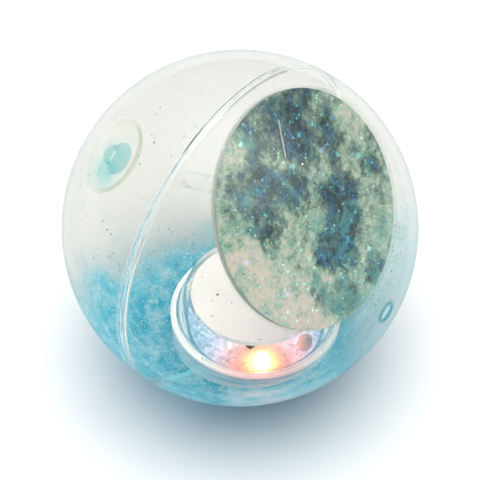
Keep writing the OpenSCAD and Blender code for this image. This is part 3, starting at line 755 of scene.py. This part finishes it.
outline = [(15.3 * mm, -21.62 * mm), (16.3 * mm, -21.62 * mm), (16.38 * mm, -21.55 * mm),
           (16.38 * mm, -21.2 * mm), (16.3 * mm, -21.13 * mm), (15.3 * mm, -21.13 * mm),
           (15.22 * mm, -21.2 * mm), (15.22 * mm, -21.55 * mm)]
fit_in(spun(outline, "pod_seal_white", pod_axis, 160), seal_rubber, "seal_rubber", "pod_seal")

pad_rubber = clear_plastic("pad_gel", (0.92, 0.96, 0.96), (0.8, 0.86, 0.86), 0.2, 0.2)
fit_in(remade("pod_pad", "pod_pad_gel"), pad_rubber, "pad_clear", "pod_pad")


# ---------------------------------------------------------------- flasher
# A white reflector plate stands on three posts over a round circuit board with a chip,
# resistors and two lit lamps at its front edge, which throw a warm and a pink pool of light.

red_low, red_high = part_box("lamp_red")
red_foot = foot_of(red_low, red_high)
lamp_r = (lamp_high.x - lamp_low.x) / 2


def lit_pools(name, colour, gain, grain_scale):
    """A pale surface with coloured pools of light round the two lamps."""
    made, tree, out = material(name)
    spot = own_place(tree)
    away = measure(tree, "DISTANCE", spot, tuple(lamp_foot))
    red_away = measure(tree, "DISTANCE", spot, tuple(red_foot))
    pool = colour_ramp(tree, stepped(tree, away, 0.0, 13 * mm, 0.0, 1.0, smooth=False),
                       (0.1, (2.6, 1.5, 0.3)), (0.2, (1.8, 0.75, 0.08)), (0.28, (1.05, 0.3, 0.08)),
                       (0.38, (0.8, 0.18, 0.16)), (0.5, (0.9, 0.45, 0.5)), (0.7, (0.85, 0.62, 0.78)),
                       (1.0, (0.5, 0.6, 0.74)))
    red_near = stepped(tree, red_away, 7 * mm, 1 * mm, 0.0, 0.8)
    both = blend(tree, red_near, pool, (0.55, 0.1, 0.14, 1), way="ADD")
    grain = grain_on(tree, spot, grain_scale, 4.0, 0.7)
    patchy = stepped(tree, grain, 0.36, 0.64, 0.35, 1.35, smooth=False)
    strength = maths(tree, "MULTIPLY", patchy, gain)
    speck = stepped(tree, grain, 0.6, 0.72, 0.0, 0.5, smooth=False)
    base = blend(tree, speck, (*colour, 1), (*[c * 0.6 for c in colour], 1))
    body = add(tree, "BsdfPrincipled", Base_Color=base, Roughness=0.5, Emission_Color=both,
               Emission_Strength=strength)
    body.inputs["Specular IOR Level"].default_value = 0.3
    show(tree, body, out)
    return made


board_paint = lit_pools("board_laminate", (0.4, 0.42, 0.46), 1.15, 1100.0)
fit_in(remade("circuit_board", "flasher_board", 0.06 * mm), board_paint, "board", "circuit_board")

plate_paint, tree, out = material("reflector_plastic")
spot = own_place(tree)
away = measure(tree, "DISTANCE", spot, tuple(lamp_foot))
# The plate glows by an emission, warm white and pinker near the lamp: painted lamp light.
painted_lamp_warmth = blend(tree, stepped(tree, away, 4 * mm, 20 * mm, 1.0, 0.0), (1.0, 0.97, 0.95, 1),
               (1.0, 0.86, 0.84, 1))
grain = grain_on(tree, spot, 1500.0, 3.0, 0.7)
speck = blend(tree, stepped(tree, grain, 0.62, 0.7, 0.0, 0.35), (0.96, 0.95, 0.94, 1), (0.85, 0.6, 0.62, 1))
body = add(tree, "BsdfPrincipled", Base_Color=speck, Roughness=0.55, Emission_Color=painted_lamp_warmth,
           Emission_Strength=0.42)
show(tree, body, out)
fit_in(remade("reflector_plate", "reflector", 0.1 * mm), plate_paint, "reflector_white", "reflector_plate")

chip_epoxy = speckled("chip_epoxy", (0.02, 0.02, 0.022), (0.05, 0.05, 0.05), 3000.0, 0.6, 0.25, 0.1)
fit_in(remade("flasher_chip", "chip_blob"), chip_epoxy, "chip_black", "flasher_chip")
fit_in(remade("resistors", "chip_resistors", 0.08 * mm), chip_epoxy, "chip_black", "resistors")


def lit_resin(name, colour, strength):
    """Lamp resin, glowing from inside."""
    made, tree, out = material(name)
    grain = add(tree, "TexNoise", Scale=900.0, Detail=2.0)
    glow = stepped(tree, grain, 0.0, 1.0, 0.85 * strength, 1.15 * strength, smooth=False)
    body = add(tree, "BsdfPrincipled", Base_Color=(*colour, 1), Roughness=0.1, Emission_Color=(*colour, 1),
               Emission_Strength=glow)
    show(tree, body, out)
    return made


def lamp(name, foot, resin, slot, node):
    """A round lamp with a foot flange and a domed top."""
    straight = 1.6 * mm
    outline = [(0, 0), (lamp_r, 0), (lamp_r, 0.35 * mm), (lamp_r - 0.12 * mm, 0.4 * mm),
               (lamp_r - 0.12 * mm, straight)]
    dome = lamp_r - 0.12 * mm
    outline += [(dome * math.cos(a), straight + dome * math.sin(a))
                for a in (math.pi / 2 * i / 12 for i in range(1, 13))]
    fit_in(spun(outline, name, Matrix.Translation(foot), 48, closed=False), resin, slot, node)


lamp("warm_lamp", lamp_foot, lit_resin("warm_resin", (1.0, 0.78, 0.36), 12.0), "lamp_warm", "lamp_warm")
lamp("red_lamp", red_foot, lit_resin("red_resin", (0.8, 0.46, 0.44), 0.3), "lamp_red", "lamp_red")


# ---------------------------------------------------------------- power
# Three steel button cells sit in a white plastic cage between two thin brass contacts.

def metal(name, colour, roughness, scratch):
    """Bare metal with fine scratches."""
    made, tree, out = material(name)
    lines = grain_on(tree, own_place(tree), scratch, 5.0, 0.7)
    rough = stepped(tree, lines, 0.0, 1.0, roughness * 0.6, roughness * 1.5, smooth=False)
    body = add(tree, "BsdfPrincipled", Base_Color=(*colour, 1), Metallic=1.0, Roughness=rough)
    show(tree, body, out)
    return made


cage_white = speckled("cage_white_plastic", (0.86, 0.88, 0.9), (0.78, 0.8, 0.84), 800.0, 0.5, 0.45, 0.05)
fit_in(remade("cell_cage", "cell_holder", 0.06 * mm), cage_white, "cage_plastic", "cell_cage")
cell_steel = metal("cell_steel", (0.78, 0.79, 0.8), 0.25, 1600.0)
fit_in(remade("button_cells", "steel_cells", 0.15 * mm), cell_steel, "cell_steel", "button_cells")
brass = metal("thin_brass", (0.8, 0.66, 0.38), 0.3, 1200.0)
fit_in(remade("contact_top", "upper_contact", 0.03 * mm), brass, "contact_plate", "contact_top")
fit_in(remade("contact_bottom", "lower_contact", 0.03 * mm), brass, "contact_plate", "contact_bottom")


# ---------------------------------------------------------------- shake switch
# A fine brass spring stands round a post without touching it. A bounce makes it sway
# against the post, and that starts the flasher.

fit_in(remade("switch_post", "switch_pin", 0.04 * mm), brass, "switch_brass", "switch_post")
fit_in(remade("switch_ring", "switch_foot_ring", 0.03 * mm), brass, "switch_brass", "switch_ring")
spring_low, spring_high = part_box("switch_spring")
spring_wire = 0.15 * mm
spring_r = (spring_high.x - spring_low.x) / 2 - spring_wire
spring_turns, turn_parts, wire_sides = 7, 32, 10
wire_edge = 0.97 * spring_wire
upright = Vector((0, 0, 1))
spring_at = foot_of(spring_low, spring_high) + spring_wire * upright
climb = spring_high.z - spring_low.z - 2 * spring_wire
bm = bmesh.new()
last = None
for i in range(spring_turns * turn_parts + 1):
    a = 2 * math.pi * i / turn_parts
    out_way = Vector((math.cos(a), math.sin(a), 0))
    middle = spring_at + spring_r * out_way + climb * i / (spring_turns * turn_parts) * upright
    ring = []
    for k in range(wire_sides):
        b = 2 * math.pi * k / wire_sides
        ring.append(bm.verts.new(middle + wire_edge * (math.cos(b) * out_way + math.sin(b) * upright)))
    if last:
        for k in range(wire_sides):
            bm.faces.new((last[k], last[k - 1], ring[k - 1], ring[k]))
    else:
        bm.faces.new(ring)
    last = ring
bm.faces.new(list(reversed(last)))
bmesh.ops.recalc_face_normals(bm, faces=bm.faces)
spring = piece_from(bm, "shake_coil")
spring.data.materials.append(brass)
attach(spring, "shake_spring")
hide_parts("switch_spring")


# ---------------------------------------------------------------- water
# Clear water fills the ball, with a faint milky film where it meets the shell.

water_r = shell_in - 0.08 * mm
water, tree, out = material("glitter_water_clear")
spot = own_place(tree)
film_grain = grain_on(tree, spot, 90.0, 8.0, 0.7)
through = add(tree, "BsdfTransparent", Color=(0.992, 0.994, 0.988, 1))
film = add(tree, "BsdfDiffuse", Color=(0.9, 0.93, 0.9, 1))
mix = mixed(tree, stepped(tree, film_grain, 0.5, 0.8, 0.0, 0.04), through, film)
show(tree, mix, out)
bm = bmesh.new()
bmesh.ops.create_icosphere(bm, subdivisions=6, radius=water_r)
fit_in(piece_from(bm, "glitter_water"), water, "glitter_water", "water_fill")


# ---------------------------------------------------------------- glitter
# Hexagonal glitter flakes, 0.2 to 0.4 mm across, cling to the inside of the shell. Most
# lie low, and some are turquoise, blue, green or dark.

flake_colours = [((0.5, 0.8, 0.86), 0.4), ((0.1, 0.62, 0.68), 0.24), ((0.06, 0.3, 0.7), 0.12),
                 ((0.1, 0.8, 0.45), 0.06), ((0.16, 0.13, 0.1), 0.08), ((0.85, 0.95, 0.98), 0.1)]
flake_count = 2600
dice = random.Random(7)
bm = bmesh.new()
paint_layer = bm.loops.layers.float_color.new("flake_colour")


def flake(centre, facing, across, colour):
    """One hexagonal flake."""
    a = facing.orthogonal().normalized()
    b = facing.cross(a)
    turn = dice.uniform(0, math.pi)
    corners = []
    for k in range(6):
        corner = turn + k * math.pi / 3
        corners.append(bm.verts.new(centre + across / 2 * (math.cos(corner) * a + math.sin(corner) * b)))
    face = bm.faces.new(corners)
    for loop in face.loops:
        loop[paint_layer] = (*colour, 1)


def random_way():
    """A direction picked evenly from all round."""
    return Vector([dice.gauss(0, 1) for _ in range(3)]).normalized()


made_flakes = 0
while made_flakes < flake_count:
    way = random_way()
    on_blue_side = max(0.0, min(1.0, (way.dot(blue_side) + 0.1) * 2))
    share = 0.018 + 0.9 * on_blue_side * max(0.12, min(1.0, way.dot(settled_side) * 4))
    share *= 0.4 + 1.2 * max(0.0, noise.noise(way * 3.1) + 0.4)
    if dice.random() > share:
        continue
    pick = dice.random()
    for candidate, portion in flake_colours:
        colour = candidate
        if pick < portion:
            break
        pick -= portion
    facing = (way + random_way() * 0.25).normalized()
    flake(way * (water_r - dice.uniform(0.3, 0.6) * mm), facing, dice.uniform(0.2, 0.42) * mm, colour)
    made_flakes += 1
flakes = piece_from(bm, "glitter_flakes", smooth=False)
flake_paint, tree, out = material("glitter_flake_paint")
own = add(tree, "Attribute", {"attribute_name": "flake_colour"})
body = add(tree, "BsdfPrincipled", Base_Color=own.outputs["Color"], Roughness=0.3, Metallic=0.35)
show(tree, body, out)
flakes.data.materials.append(flake_paint)
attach(flakes, "ball")
